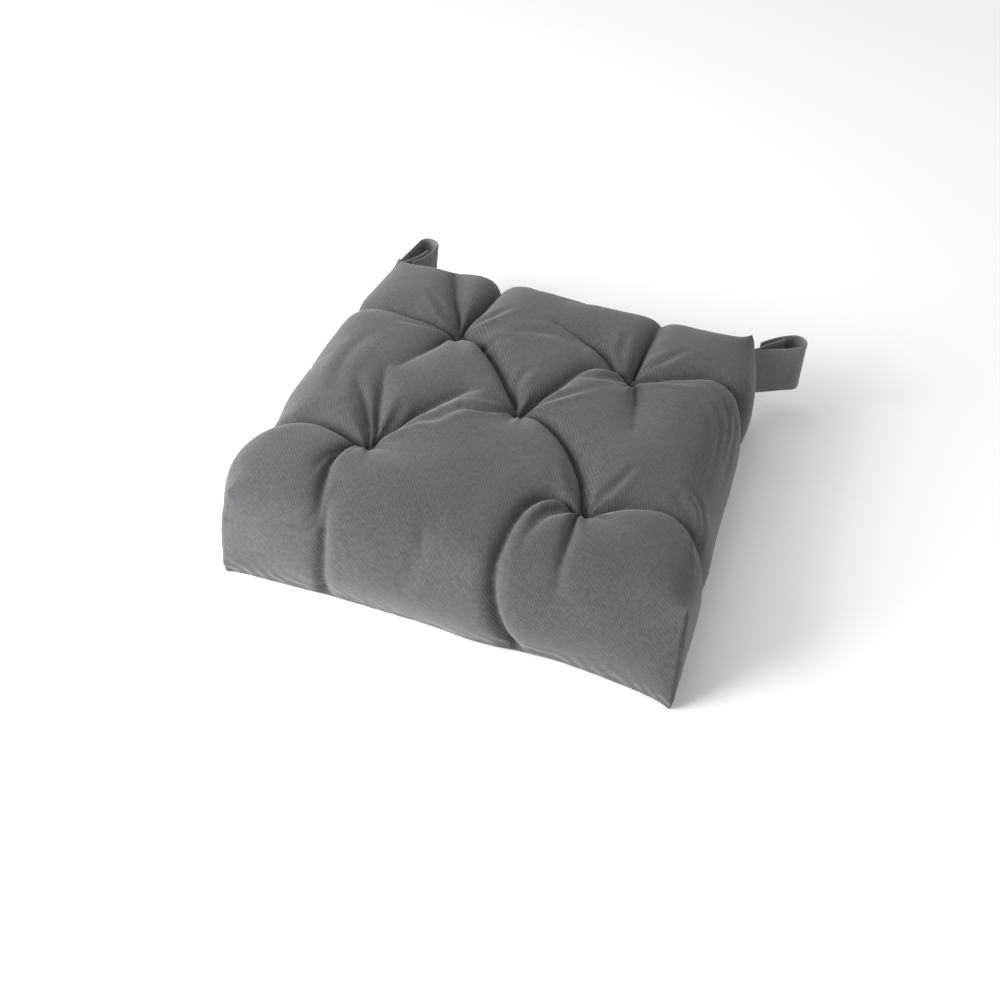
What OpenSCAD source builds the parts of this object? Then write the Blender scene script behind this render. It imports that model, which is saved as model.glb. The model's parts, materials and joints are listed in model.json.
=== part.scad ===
// Tufted chair seat pad with a fastening strap at each back corner.
// Millimetres. The origin is the centre of the flat underside, the front edge
// faces -Y, +X is to the right and +Z is up.

/* [Pad] */
// Width along the front edge
front_w = 400; // [370:5:430]
// Width along the back edge
back_w = 350; // [320:5:370]
// Depth from the front edge to the back edge
depth = 380; // [350:5:410]
// Height of the filled pad
pad_h = 100; // [100:1:106]
// Radius where the sides roll over into the top
top_roll = 18; // [14:1:18]
// Radius of the corners seen from above
corner_r = 10; // [9:0.5:12]

/* [Cloth and thread] */
// Thickness of the woven cover cloth
cloth_t = 1.2; // [1:0.1:1.6]
// Depth of the seam allowances turned to the inside
allowance = 10; // [8:1:14]
// Thickness of the sewing thread
thread_d = 1; // [0.8:0.1:1.2]

/* [Tufts] */
// Sideways distance of the two front tufts from the middle
front_tuft_x = 98; // [90:1:104]
// Distance of the two front tufts in front of the middle
front_tuft_y = 95; // [88:1:102]
// Sideways distance of the two back tufts from the middle
back_tuft_x = 82; // [76:1:90]
// Distance of the two back tufts behind the middle
back_tuft_y = 80; // [74:1:90]
// Height of the tuft's lowest point above the underside
tuft_floor = 58; // [54:1:62]
// Radius of the tuft at its lowest point
tuft_neck = 5; // [4.5:0.5:7]
// Height that each tie pulls the bottom panel up
cup_h = 10; // [8:0.5:14]

/* [Straps] */
// Width of the strap band, which stands upright
strap_w = 50; // [42:1:50]
// Height of the band's lower edge above the underside
strap_low = 30; // [24:1:30]
// Thickness of the band
band_t = 1.8; // [1.4:0.1:2]
// Thickness of each hook or loop tape
tape_t = 1.1; // [0.9:0.1:1.3]
// Straight run of the band from the seam to the fold
near_run = 44; // [42:1:46]
// Radius of the fold at the strap's end
fold_r = 9.1; // [8.9:0.1:9.4]
// Direction of the right strap, from the side towards the back
right_strap_turn = 30; // [10:1:50]
// Direction of the left strap, from the side towards the back
left_strap_turn = 100; // [60:1:110]

/* [Hidden] */

$fn = 32;
cut = 1;                                 // how far a cutter runs past a face
gap = 0.3;                               // clearance between neighbouring pieces
base_edge = 3;                           // inset of the lowest edge of the cover
level_t = 1;                             // thickness of each level that makes the form
roll_steps = 4;                          // flats in the roll of the top edge
corner_steps = 5;                        // flats in a rounded corner
side_slope = (back_w - front_w) / 2 / depth;
side_angle = -atan(side_slope);          // direction of the right side's outward normal
flange_z = cloth_t + gap;                // underside of the cover's bottom allowance
flange_top = flange_z + cloth_t;
seam_z = flange_top + thread_d / 2 + 0.05;  // middle of the seam thread on the allowance

lip_steps = 6;                           // flats in a tuft's lip
lip_sweep = 72;                          // the lip's arc, from upright towards level
tuft_arc = pad_h - tuft_floor;           // radius of the round lip around a tuft
tuft_mouth = tuft_neck + tuft_arc;
cup_r = 22;                              // radius of the cup's mouth in the bottom panel
cup_top_r = 5;
strand_gap = 2;                          // each strand's distance from the tuft's middle
channel_r = strand_gap + thread_d + gap;
bar_d = 2 * thread_d;                    // thread wound into the bar on the tuft's floor
bar_len = 8;
knot_d = 4 * thread_d;                    // thread wound into the knot below
front_left_tuft = [-front_tuft_x, -front_tuft_y];
front_right_tuft = [front_tuft_x, -front_tuft_y];
back_left_tuft = [-back_tuft_x, back_tuft_y];
back_right_tuft = [back_tuft_x, back_tuft_y];
centre_tuft = [0, 0];
tufts = [centre_tuft, front_left_tuft, front_right_tuft, back_left_tuft, back_right_tuft];

fin_top = pad_h - top_roll;              // upper end of the corner seams
leaf_t = 2 * cloth_t + 0.2;              // two cloth layers of a corner seam allowance
seam_s = 4;                              // seam line's distance out from the corner's centre
seam_d = thread_d + 2 * gap;             // width of the channel that a seam thread runs in
tab_t = 2.2;
strap_top = strap_low + strap_w;
hinge_s = corner_r + 3.6;                // swing line's distance out from the corner's centre
nose_r = 2;
root_r = nose_r + 0.6;                   // the band starts this far from the swing line

tape_gap = 0.4;                          // hook and loop tapes stay this far apart
stack = band_t + 2 * tape_t + tape_gap;  // from the short band's middle to the tail's middle
fold_turn = 176;                         // the fold's sweep, from straight run to tail
split_turn = 90;                         // where the tail opens from the near band
split_gap = 0.4;
short_root = [3.4, 2.2];                 // middle of the short band at the root
far_start = [near_run + fold_r * sin(fold_turn), fold_r * (1 - cos(fold_turn))];
far_normal = [-sin(fold_turn), cos(fold_turn)];
far_chord = short_root - far_start;
tail_r = (far_chord * far_chord - stack * stack) / 2 / (far_chord * far_normal - stack);
far_centre = far_start + tail_r * far_normal;
short_r = tail_r - stack;
root_a = angle_of(short_root - far_centre);
tail_a0 = angle_of(far_start - far_centre);
tail_a1 = root_a - 9;                    // the tail stops short of the seam
short_a0 = tail_a0 + 9;                  // the short band stops short of the fold
tape_a0 = short_a0 + 1.5;
tape_a1 = tail_a1 - 2;
tape_edge = 3;                           // the tapes are this much narrower at each edge
stitch_in = 1.6;                         // stitch line's distance in from the tape's edge

function angle_of(v) = atan2(v[1], v[0]);
function half_w(y) = (front_w + back_w) / 4 + side_slope * y;
// Middle of the rounded corner at the given end and side, for a form inset by g
function corner_at(side, end, g) = let (d = g + corner_r, y = end * (depth / 2 - d))
    [side * (half_w(y) - d / cos(side_angle)), y];
corners = [[-1, -1], [1, -1], [1, 1], [-1, 1]];
corner_arcs = [[180 - side_angle, 270], [-90, side_angle], [side_angle, 90], [90, 180 - side_angle]];
// Direction out of a corner along its seam
function corner_turn(side, end) = let (t = (end > 0 ? 90 + side_angle : -90 + side_angle) / 2)
    side > 0 ? t : 180 - t;

cotton = [0.36, 0.37, 0.38];
lining = [0.30, 0.31, 0.32];
fibre = [0.93, 0.93, 0.91];
thread = [0.25, 0.25, 0.26];
tape = [0.18, 0.18, 0.19];

// ---------- shapes shared by the cover and the filling ----------

// Flat plate of the pad's outline, inset by g, with round corners
module plate(z, h, g) {
    translate([0, 0, z]) linear_extrude(h)
        polygon([for (k = [0:3]) let (c = corner_at(corners[k][0], corners[k][1], g))
            for (i = [0:corner_steps]) let (
                a = corner_arcs[k][0] + (corner_arcs[k][1] - corner_arcs[k][0]) * i / corner_steps)
                c + corner_r * [cos(a), sin(a)]]);
}

// The pad's form, shrunk by t, from height z0 up
module form(t, z0) {
    hull() {
        plate(z0, level_t, z0 <= 0 ? base_edge : t);
        plate(max(z0, base_edge), level_t, t);
        for (i = [0:roll_steps]) let (a = i * 90 / roll_steps)
            plate(fin_top + (top_roll - t) * sin(a) - level_t, level_t,
                t + (top_roll - t) * (1 - cos(a)));
    }
}

// The space that a tuft pulls out of the form, grown by t: a neck with a round lip
module dimple(t) {
    lip_r = tuft_arc - t;
    rotate_extrude($fn = 32) polygon(concat(
        [[0, pad_h + cut], [0, tuft_floor - t]],
        [for (i = [0:lip_steps]) let (a = i * lip_sweep / lip_steps)
            [tuft_mouth - lip_r * cos(a), i == 0 ? tuft_floor - t : tuft_floor + lip_r * sin(a)]],
        [[tuft_mouth - lip_r * cos(lip_sweep) + cut, pad_h + cut]]));
}

module dimples(t) {
    for (p = tufts) translate(p) dimple(t);
}

// Places its children at a corner, with +X pointing out along the seam
module at_corner(side, end) {
    translate(corner_at(side, end, 0)) rotate(corner_turn(side, end)) children();
}

// Upright slab along the seam, from s0 to s1
module seam_slab(s0, s1, t, z0, z1) {
    translate([s0, -t / 2, z0]) cube([s1 - s0, t, z1 - z0]);
}

module fin(side, end, t) {
    at_corner(side, end) seam_slab(-t, corner_r - cloth_t / 2, leaf_width(end) + 2 * t,
        flange_top - cloth_t / 2, fin_top + t);
}

// The back corner seams also hold a strap's end between their layers
function leaf_width(end) = end > 0 ? leaf_t + tab_t + gap : leaf_t;

// ---------- pad ----------

module top_cover() {
    color(cotton) difference() {
        union() {
            difference() {
                form(0, 0);
                dimples(0);
                difference() {
                    form(cloth_t, flange_top);
                    dimples(cloth_t);
                }
                plate(-cut, cut + flange_z, base_edge + cloth_t);
                plate(0, flange_top + cut, base_edge + allowance);
            }
            for (c = corners) fin(c[0], c[1], 0);
        }
        for (p = tufts) translate(p) strand_holes(tuft_floor - cloth_t - cut, 2 * cloth_t + 2);
        for (c = corners) at_corner(c[0], c[1])
            translate([seam_s, 0, -cut]) cylinder(d = seam_d, h = fin_top + cut - 2);
        for (side = [-1, 1]) at_corner(side, 1)
            seam_slab(-cut, hinge_s, tab_t + gap, strap_low - gap, strap_top + gap);
    }
}

module bottom_panel() {
    color(lining) difference() {
        union() {
            plate(0, cloth_t, base_edge + cloth_t + gap);
            for (p = tufts) translate(p)
                cylinder(r1 = cup_r + cloth_t, r2 = cup_top_r + cloth_t, h = cup_h + cloth_t);
        }
        for (p = tufts) translate(p) {
            translate([0, 0, -0.01]) cylinder(r1 = cup_r, r2 = cup_top_r, h = cup_h + 0.01);
            strand_holes(cup_h - cut, cloth_t + 2 * cut);
        }
    }
}

module strand_holes(z, h) {
    for (side = [-1, 1])
        translate([side * strand_gap, 0, z]) cylinder(d = thread_d + 0.3, h = h);
}

module filling() {
    t = cloth_t + gap;
    low = seam_z + thread_d / 2 + gap;   // the filling clears the seam thread
    color(fibre) difference() {
        union() {
            form(t, low);
            plate(t, low + level_t - t, base_edge + allowance + gap);
        }
        dimples(t);
        for (p = tufts) translate(p) {
            cylinder(r1 = cup_r + cloth_t + 1, r2 = cup_top_r + cloth_t + 1, h = cup_h + cloth_t + 1);
            cylinder(r = channel_r, h = tuft_floor);
        }
        for (c = corners) fin(c[0], c[1], 2 * gap);
        for (side = [-1, 1]) at_corner(side, 1)
            seam_slab(-cut - gap, corner_r, tab_t + 2 * gap, strap_low - 1, strap_top + 1);
    }
}

// One straight run of thread between two points at height z
module thread_run(a, b, z) {
    v = b - a;
    short = 5;                           // stops this far before the corner seams' leaves
    translate(concat(a, z)) rotate(angle_of(v)) rotate([0, 90, 0])
        translate([0, 0, short]) cylinder(d = thread_d, h = norm(v) - 2 * short);
}

// The seam runs in the fold between the cover's wall and its bottom allowance
module perimeter_seam_thread() {
    g = base_edge + cloth_t + allowance / 2 - corner_r;
    color(thread) for (i = [0:3]) let (c = corners[i], d = corners[(i + 1) % 4])
        thread_run(corner_at(c[0], c[1], g), corner_at(d[0], d[1], g), seam_z);
}

// Row of stitches on the back wall that closes the filling opening
module closing_stitch() {
    opening_w = 160;
    stitches = 20;
    pitch = opening_w / stitches;
    color(thread) for (i = [0:stitches - 1])
        translate([(i - (stitches - 1) / 2) * pitch, depth / 2 + thread_d / 2, 7])
            rotate([0, 90, 0]) cylinder(d = thread_d, h = pitch * 0.7, center = true);
}

module corner_seam(side, end) {
    color(thread) at_corner(side, end)
        translate([seam_s, 0, flange_top + 1]) cylinder(d = thread_d, h = fin_top - flange_top - 5);
}

// Two strands from a bar across the tuft's floor to a knot in the cup below
module tuft_tie(p) {
    bar_z = tuft_floor + bar_d / 2 + 0.1;
    knot_z = cup_h - knot_d;
    color(thread) translate(p) {
        for (end = [[bar_z, bar_d], [knot_z, knot_d]]) translate([0, 0, end[0]])
            rotate([0, 90, 0]) cylinder(d = end[1], h = bar_len, center = true);
        for (side = [-1, 1]) translate([side * strand_gap, 0, knot_z])
            cylinder(d = thread_d, h = bar_z - knot_z);
    }
}

// ---------- straps, drawn at the right; +X runs from the seam to the fold ----------

// Places its children at the right or left strap's swing line
module at_strap(side, turn) {
    hinge = corner_at(1, 1, 0) + hinge_s * [cos(corner_turn(1, 1)), sin(corner_turn(1, 1))];
    mirror([side < 0 ? 1 : 0, 0, 0]) translate(hinge) rotate(turn) children();
}

module upright(edge = 0) {
    translate([0, 0, strap_low + edge]) linear_extrude(strap_w - 2 * edge) children();
}

// Flat band of thickness t along an arc of radius r, between two directions
module arc_band(centre, r, t, a0, a1) {
    translate(centre) intersection() {
        difference() {
            circle(r = r + t / 2, $fn = 180);
            circle(r = r - t / 2, $fn = 180);
        }
        polygon(concat([[0, 0]], [for (i = [0:4]) let (a = a0 + (a1 - a0) * i / 4)
            (r + t) * 1.3 * [cos(a), sin(a)]]));
    }
}

module seam_tab(side) {
    color(cotton) difference() {
        at_corner(side, 1) {
            seam_slab(0, hinge_s, tab_t, strap_low, strap_top);
            translate([hinge_s, 0, strap_low]) cylinder(r = nose_r, h = strap_w);
        }
        at_corner(side, 1) translate([seam_s, 0, 0]) cylinder(d = seam_d, h = fin_top);
    }
}

module strap_band(side, turn) {
    fold_centre = [near_run, fold_r];
    color(cotton) at_strap(side, turn) upright() difference() {
        union() {
            translate([0, -band_t / 2]) square([near_run, band_t]);
            arc_band(fold_centre, fold_r, band_t, -90, split_turn - 90);
            arc_band(far_centre, short_r, band_t, short_a0, root_a);
            translate([0, -band_t / 2]) square([short_root[0] + 1.6, short_root[1] + band_t * 0.6]);
        }
        circle(r = root_r);
        translate([near_run + 2, fold_r - split_gap / 2]) square([fold_r, band_t]);
    }
}

module strap_tail(side, turn) {
    fold_centre = [near_run, fold_r];
    color(cotton) at_strap(side, turn) upright() difference() {
        union() {
            arc_band(fold_centre, fold_r, band_t, split_turn - 90, fold_turn - 90);
            arc_band(far_centre, tail_r, band_t, tail_a0, tail_a1);
        }
        translate([near_run + 2, fold_r - band_t]) square([fold_r, band_t + split_gap / 2]);
    }
}

module loop_tape(side, turn) {
    color(tape) at_strap(side, turn) upright(tape_edge)
        arc_band(far_centre, short_r + band_t / 2 + tape_t / 2, tape_t, tape_a0, tape_a1);
}

module hook_tape(side, turn) {
    color(tape) at_strap(side, turn) upright(tape_edge)
        arc_band(far_centre, tail_r - band_t / 2 - tape_t / 2, tape_t, tape_a0, tape_a1);
}

// Frame of stitches around a tape, standing off the band's other face
module stitch_frame(side, turn, r) {
    color(thread) at_strap(side, turn) {
        for (z = [strap_low + tape_edge + stitch_in, strap_top - tape_edge - stitch_in])
            translate([0, 0, z - thread_d / 2]) linear_extrude(thread_d)
                arc_band(far_centre, r, thread_d / 2, tape_a0 + 1, tape_a1 - 1);
        for (a = [tape_a0 + 1, tape_a1 - 2]) upright(tape_edge + stitch_in)
            arc_band(far_centre, r, thread_d / 2, a, a + 1);
    }
}

module tape_stitching(side, turn) {
    stitch_frame(side, turn, short_r - band_t / 2 - thread_d / 4);
}

module tail_stitching(side, turn) {
    stitch_frame(side, turn, tail_r + band_t / 2 + thread_d / 4);
}

// ---------- nodes ----------

right_turn = right_strap_turn;
left_turn = left_strap_turn;
top_cover();
bottom_panel();
filling();
perimeter_seam_thread();
closing_stitch();
corner_seam(-1, -1);  // corner_seam_front_left
corner_seam(1, -1);  // corner_seam_front_right
corner_seam(-1, 1);  // corner_seam_back_left
corner_seam(1, 1);  // corner_seam_back_right
tuft_tie(centre_tuft);  // tuft_tie_centre
tuft_tie(front_left_tuft);  // tuft_tie_front_left
tuft_tie(front_right_tuft);  // tuft_tie_front_right
tuft_tie(back_left_tuft);  // tuft_tie_back_left
tuft_tie(back_right_tuft);  // tuft_tie_back_right
seam_tab(1);  // right_strap_seam_tab
strap_band(1, right_turn);  // right_strap_band
loop_tape(1, right_turn);  // right_strap_loop_tape
tape_stitching(1, right_turn);  // right_strap_tape_stitching
strap_tail(1, right_turn);  // right_strap_tail
hook_tape(1, right_turn);  // right_strap_hook_tape
tail_stitching(1, right_turn);  // right_strap_tail_stitching
seam_tab(-1);  // left_strap_seam_tab
strap_band(-1, left_turn);  // left_strap_band
loop_tape(-1, left_turn);  // left_strap_loop_tape
tape_stitching(-1, left_turn);  // left_strap_tape_stitching
strap_tail(-1, left_turn);  // left_strap_tail
hook_tape(-1, left_turn);  // left_strap_hook_tape
tail_stitching(-1, left_turn);  // left_strap_tail_stitching
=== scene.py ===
import json
import math

import bpy
import numpy as np
from mathutils import Matrix, Vector
from mathutils.bvhtree import BVHTree


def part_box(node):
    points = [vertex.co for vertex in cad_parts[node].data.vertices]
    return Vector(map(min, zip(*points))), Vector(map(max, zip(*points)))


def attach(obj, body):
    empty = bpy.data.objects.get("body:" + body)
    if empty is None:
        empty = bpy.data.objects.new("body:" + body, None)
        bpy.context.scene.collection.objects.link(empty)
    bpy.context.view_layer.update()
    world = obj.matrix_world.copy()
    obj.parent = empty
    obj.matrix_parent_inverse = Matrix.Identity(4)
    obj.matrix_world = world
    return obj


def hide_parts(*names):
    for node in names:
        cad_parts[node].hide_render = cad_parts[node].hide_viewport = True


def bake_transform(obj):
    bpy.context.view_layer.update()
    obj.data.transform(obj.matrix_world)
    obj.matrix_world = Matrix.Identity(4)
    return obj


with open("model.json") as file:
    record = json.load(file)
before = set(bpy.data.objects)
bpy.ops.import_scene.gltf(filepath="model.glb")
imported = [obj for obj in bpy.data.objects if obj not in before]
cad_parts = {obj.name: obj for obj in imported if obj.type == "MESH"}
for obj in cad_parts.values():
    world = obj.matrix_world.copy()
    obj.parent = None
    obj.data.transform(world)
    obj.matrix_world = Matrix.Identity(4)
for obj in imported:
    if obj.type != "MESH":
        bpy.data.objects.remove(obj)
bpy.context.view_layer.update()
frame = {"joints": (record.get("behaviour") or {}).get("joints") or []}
scene = bpy.context.scene
scene.view_settings.view_transform = "Standard"
MM = 0.001
TINY, TINIEST = 1e-9, 1e-12

# ---------------------------------------------------------------- camera, light, floor

AZIMUTH, ELEVATION, ROLL = (math.radians(v) for v in (13.4, 41.4, 6.0))
LOOK_AT = Vector((-0.0032, -0.0103, 0.0))
DISTANCE = 1.6777
SENSOR, LENS = 36, 67.98
LIGHTS_AIM = Vector((0, 0, 0.03))
FLOOR_SIZE, FLOOR_Z = 60, -0.0002


def make_camera():
    """A camera that looks down on the front of the pad, a little from the right and rolled."""
    back = Vector((math.sin(AZIMUTH) * math.cos(ELEVATION),
                   -math.cos(AZIMUTH) * math.cos(ELEVATION), math.sin(ELEVATION)))
    right = (-back).cross(Vector((0, 0, 1))).normalized()
    up = right.cross(-back)
    x = right * math.cos(ROLL) + up * math.sin(ROLL)
    y = up * math.cos(ROLL) - right * math.sin(ROLL)
    data = bpy.data.cameras.new("camera")
    data.sensor_width = SENSOR
    data.lens = LENS
    data.clip_end = 50
    camera = bpy.data.objects.new("camera", data)
    scene.collection.objects.link(camera)
    camera.matrix_world = Matrix.Translation(LOOK_AT + back * DISTANCE) @ Matrix(
        (x, y, back)).transposed().to_4x4()
    scene.camera = camera


def area_light(name, place, size, power):
    data = bpy.data.lights.new(name, "AREA")
    data.size = size
    data.energy = power
    lamp = bpy.data.objects.new(name, data)
    scene.collection.objects.link(lamp)
    lamp.location = place
    lamp.visible_camera = False
    lamp.rotation_euler = (LIGHTS_AIM - Vector(place)).to_track_quat("-Z", "Y").to_euler()


def make_studio():
    """A large soft light at the front left, weaker ones above and behind, and a pale floor."""
    area_light("key", (-1.00, -0.98, 0.68), 1.0, 46)
    area_light("top", (-0.7, 0.2, 2.2), 1.4, 8)
    area_light("back_fill", (1.9, 1.3, 0.8), 1.4, 7)
    world = bpy.data.worlds.new("studio")
    world.use_nodes = True
    sky = world.node_tree.nodes["Background"].inputs
    sky["Color"].default_value = (1, 1, 1, 1)
    sky["Strength"].default_value = 0.58
    scene.world = world
    bpy.ops.mesh.primitive_plane_add(size=FLOOR_SIZE, location=(0, 0, FLOOR_Z))
    floor = bpy.context.object
    floor.name = "floor"
    floor.data.materials.append(plain("floor_paint", (0.96, 0.96, 0.96), 0.7))


# ---------------------------------------------------------------- materials


def new_material(name):
    m = bpy.data.materials.new(name)
    m.use_nodes = True
    return m, m.node_tree, m.node_tree.nodes["Principled BSDF"]


def plain(name, colour, rough):
    m, _, shader = new_material(name)
    shader.inputs["Base Color"].default_value = (*colour, 1)
    shader.inputs["Roughness"].default_value = rough
    return m


def node(tree, kind, inputs=None, **settings):
    n = tree.nodes.new(kind)
    for k, v in settings.items():
        setattr(n, k, v)
    for k, v in (inputs or {}).items():
        if isinstance(v, bpy.types.NodeSocket):
            tree.links.new(v, n.inputs[k])
        else:
            n.inputs[k].default_value = v
    return n


def math_node(tree, operation, a, b):
    return node(tree, "ShaderNodeMath", {0: a, 1: b}, operation=operation).outputs[0]


def mixed(tree, factor, a, b):
    n = tree.nodes.new("ShaderNodeMix")
    n.data_type = "RGBA"
    for i, v in ((0, factor), (6, a), (7, b)):
        if isinstance(v, bpy.types.NodeSocket):
            tree.links.new(v, n.inputs[i])
        else:
            n.inputs[i].default_value = v
    return n.outputs[2]


def noise_node(tree, place, scale, detail):
    return node(tree, "ShaderNodeTexNoise", {"Vector": place, "Scale": scale, "Detail": detail})


def ranged(tree, value, limits):
    return node(tree, "ShaderNodeMapRange", {"Value": value, **limits}).outputs[0]


def summed(tree, *weighted):
    """Sum of (socket, weight) pairs."""
    total = None
    for socket, weight in weighted:
        term = math_node(tree, "MULTIPLY", socket, weight)
        total = term if total is None else math_node(tree, "ADD", total, term)
    return total


WAVE_SCALE = 0.3141593  # a wave texture of this scale has a period of one metre
YARN = 0.42             # a yarn's period, as a share of the rib's


def woven(name, dark, light, rib, angle, relief=1.0):
    """Twill cloth: slanted ribs crossed by finer yarns, in the cloth's own flat coordinates."""
    m, t, shader = new_material(name)
    flat = node(t, "ShaderNodeAttribute", attribute_name="cloth",
                attribute_type="GEOMETRY").outputs["Vector"]
    slub = noise_node(t, flat, 260.0, 2.0).outputs["Fac"]
    cloudy = noise_node(t, flat, 14.0, 3.0).outputs["Fac"]
    sway = noise_node(t, flat, 60.0, 1.0).outputs["Color"]
    shift = node(t, "ShaderNodeVectorMath", {0: sway, 1: (0.0006, 0.0006, 0.0)},
                 operation="MULTIPLY").outputs[0]
    bent = node(t, "ShaderNodeVectorMath", {0: flat, 1: shift}, operation="ADD").outputs[0]

    def bands(period, turn):
        turned = node(t, "ShaderNodeMapping", {"Vector": bent, "Rotation": (0, 0, math.radians(turn))})
        return node(t, "ShaderNodeTexWave",
                    {"Vector": turned.outputs[0], "Scale": WAVE_SCALE / period, "Distortion": 0.0,
                     "Detail": 0.0},
                    wave_type="BANDS", bands_direction="X", wave_profile="SIN").outputs["Fac"]

    ribs = math_node(t, "MULTIPLY", bands(rib, 90 - angle),
                     ranged(t, slub, {"From Min": 0.25, "From Max": 0.75, "To Min": 0.4, "To Max": 1.0}))
    yarns = math_node(t, "MULTIPLY", bands(rib * YARN, 0), bands(rib * YARN, 90))
    height = summed(t, (ribs, 0.62), (yarns, 0.38))
    tone = summed(t, (height, 0.55), (slub, 0.3), (cloudy, 0.25))
    colour = mixed(t, ranged(t, tone, {"From Min": 0.15, "From Max": 0.95}), (*dark, 1), (*light, 1))
    t.links.new(colour, shader.inputs["Base Color"])
    t.links.new(math_node(t, "SUBTRACT", 0.93, math_node(t, "MULTIPLY", height, 0.12)),
                shader.inputs["Roughness"])
    bump = node(t, "ShaderNodeBump", {"Strength": 0.6 * relief, "Distance": 0.0003, "Height": height})
    t.links.new(bump.outputs[0], shader.inputs["Normal"])
    shader.inputs["Sheen Weight"].default_value = 0.25
    shader.inputs["Sheen Roughness"].default_value = 0.5
    shader.inputs["Specular IOR Level"].default_value = 0.25
    return m


def fibrous(name, dark, light, scale, rough=0.95, relief=0.6):
    """Noise of short fibres in object coordinates, for filling, tape and thread."""
    m, t, shader = new_material(name)
    place = node(t, "ShaderNodeTexCoord").outputs["Object"]
    fuzz = node(t, "ShaderNodeTexNoise",
                {"Vector": place, "Scale": scale, "Detail": 4.0, "Roughness": 0.65}).outputs["Fac"]
    colour = mixed(t, fuzz, (*dark, 1), (*light, 1))
    t.links.new(colour, shader.inputs["Base Color"])
    bump = node(t, "ShaderNodeBump", {"Strength": relief, "Distance": 0.0004, "Height": fuzz})
    t.links.new(bump.outputs[0], shader.inputs["Normal"])
    t.links.new(math_node(t, "SUBTRACT", rough, math_node(t, "MULTIPLY", fuzz, 0.1)),
                shader.inputs["Roughness"])
    shader.inputs["Sheen Weight"].default_value = 0.2
    shader.inputs["Specular IOR Level"].default_value = 0.2
    return m


COTTON = woven("cover_twill", (0.034, 0.034, 0.0365), (0.111, 0.112, 0.119), 0.0023, -59, 1.3)
LINING = woven("lining_weave", (0.075, 0.076, 0.081), (0.13, 0.131, 0.137), 0.0012, -45, 0.6)
WEBBING = woven("strap_twill", (0.122, 0.120, 0.121), (0.206, 0.202, 0.204), 0.0019, -60)
FIBRE = fibrous("fibre_fill", (0.62, 0.62, 0.60), (0.93, 0.93, 0.90), 240.0)
THREAD = fibrous("sewing_thread", (0.045, 0.045, 0.048), (0.105, 0.105, 0.11), 2600.0, 0.7, 0.4)
TAPE = fibrous("hook_and_loop_tape", (0.02, 0.02, 0.022), (0.075, 0.075, 0.08), 1700.0, 0.98, 1.0)

make_camera()
make_studio()

# ---------------------------------------------------------------- mesh helpers


def new_object(name, co, quads, material):
    me = bpy.data.meshes.new(name)
    me.from_pydata(np.asarray(co).tolist(), [], [list(map(int, f)) for f in quads])
    me.update()
    me.polygons.foreach_set("use_smooth", [True] * len(me.polygons))
    me.materials.append(material)
    ob = bpy.data.objects.new(name, me)
    scene.collection.objects.link(ob)
    return ob


def attribute(me, name, kind, domain, values):
    made = me.attributes.new(name, kind, domain)
    made.data.foreach_set("vector" if kind == "FLOAT_VECTOR" else "value",
                          np.asarray(values, np.float32).ravel())


def read_attribute(me, name, width=1):
    data = me.attributes[name].data
    out = np.zeros(len(data) * width, np.float32)
    data.foreach_get("vector" if width == 3 else "value", out)
    return out.reshape(-1, width) if width > 1 else out


def coordinates(me):
    out = np.zeros(len(me.vertices) * 3, np.float32)
    me.vertices.foreach_get("co", out)
    return out.reshape(-1, 3).astype(float)


def settle(ob, body, slot, *cad_nodes):
    """A finished piece: put under its body, with the CAD nodes that it stands for hidden. The slot is not
    used.
    """
    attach(ob, body)
    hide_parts(*cad_nodes)


# ---------------------------------------------------------------- cushion: box grid

FRONT_W, BACK_W, DEPTH, HEIGHT = 0.400, 0.350, 0.380, 0.100
NX, NY, NZ = 112, 106, 28
# How far each tie has drifted, in millimetres, with the cloth it is drawn through
DRIFT = {"centre": (2, -3), "front_left": (-3, 4), "front_right": (-4, -8), "back_left": (2, 1),
         "back_right": (0, 0)}


def tie_place(name):
    low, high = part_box("tuft_tie_" + name)
    return tuple(round((low[k] + high[k]) / 2 / MM) + DRIFT[name][k] for k in (0, 1))


TUFTS = {name: tie_place(name) for name in DRIFT}
TOP, BOTTOM, FRONT, BACK, LEFT, RIGHT = range(6)
EVEN_FROM, EVEN_REACH = 0.070, 0.055  # above the first height the crown levels off within the second


def half_w(y):
    return (FRONT_W + BACK_W) / 4 + (BACK_W - FRONT_W) / 2 / DEPTH * y


index, box, grid, faces, region = {}, [], [], [], []


def corner_index(i, j, k):
    if (i, j, k) not in index:
        index[(i, j, k)] = len(box)
        a, b, c = 2 * i / NX - 1, 2 * j / NY - 1, k / NZ
        y = b * DEPTH / 2
        box.append((a * half_w(y), y, c * HEIGHT))
        grid.append((a, b, c))
    return index[(i, j, k)]


def quad(where, *corners):
    faces.append([corner_index(*c) for c in corners])
    region.append(where)


for i in range(NX):
    for j in range(NY):
        quad(TOP, (i, j, NZ), (i + 1, j, NZ), (i + 1, j + 1, NZ), (i, j + 1, NZ))
        quad(BOTTOM, (i, j, 0), (i, j + 1, 0), (i + 1, j + 1, 0), (i + 1, j, 0))
for k in range(NZ):
    for i in range(NX):
        quad(FRONT, (i, 0, k), (i + 1, 0, k), (i + 1, 0, k + 1), (i, 0, k + 1))
        quad(BACK, (i + 1, NY, k), (i, NY, k), (i, NY, k + 1), (i + 1, NY, k + 1))
    for j in range(NY):
        quad(LEFT, (0, j + 1, k), (0, j, k), (0, j, k + 1), (0, j + 1, k + 1))
        quad(RIGHT, (NX, j, k), (NX, j + 1, k), (NX, j + 1, k + 1), (NX, j, k + 1))

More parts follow.
